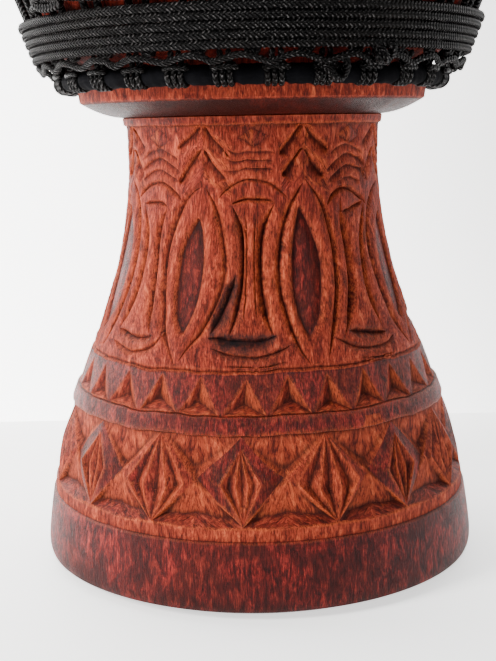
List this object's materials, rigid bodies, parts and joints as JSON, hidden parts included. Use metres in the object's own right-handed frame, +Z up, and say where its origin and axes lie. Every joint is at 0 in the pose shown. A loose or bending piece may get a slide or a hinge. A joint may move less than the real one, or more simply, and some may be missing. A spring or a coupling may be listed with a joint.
{
  "type": "djembe hand drum",
  "caption": "Goblet-shaped hand drum with a carved hardwood foot and stem, a hollow bowl, and a goatskin head laced down between two cloth-wrapped rings.",
  "frame": {"origin": "centre of the foot's underside, on the floor", "axes": "+Z up along the drum's own axis to the skin; the side seen in the picture faces -Y"},
  "size_m": [0.3792, 0.3792, 0.6021],
  "materials": {
    "carved_wood": "carved reddish hardwood, dark and polished on the high faces, orange and open-grained in the fresh cuts",
    "goatskin": "scraped natural goatskin, matt to satin",
    "ring_cloth": "black cloth wound round a hoop, matt",
    "black_rope": "black braided rope with a slight sheen"
  },
  "bodies": {
    "root": {"shell": "carved_wood", "drumhead": "goatskin", "crown_ring": "ring_cloth", "lower_ring": "ring_cloth", "crown_loops": "black_rope", "lower_loops": "black_rope", "lacing": "black_rope", "woven_rope": "black_rope", "rope_winding": "black_rope"}
  },
  "joints": []
}
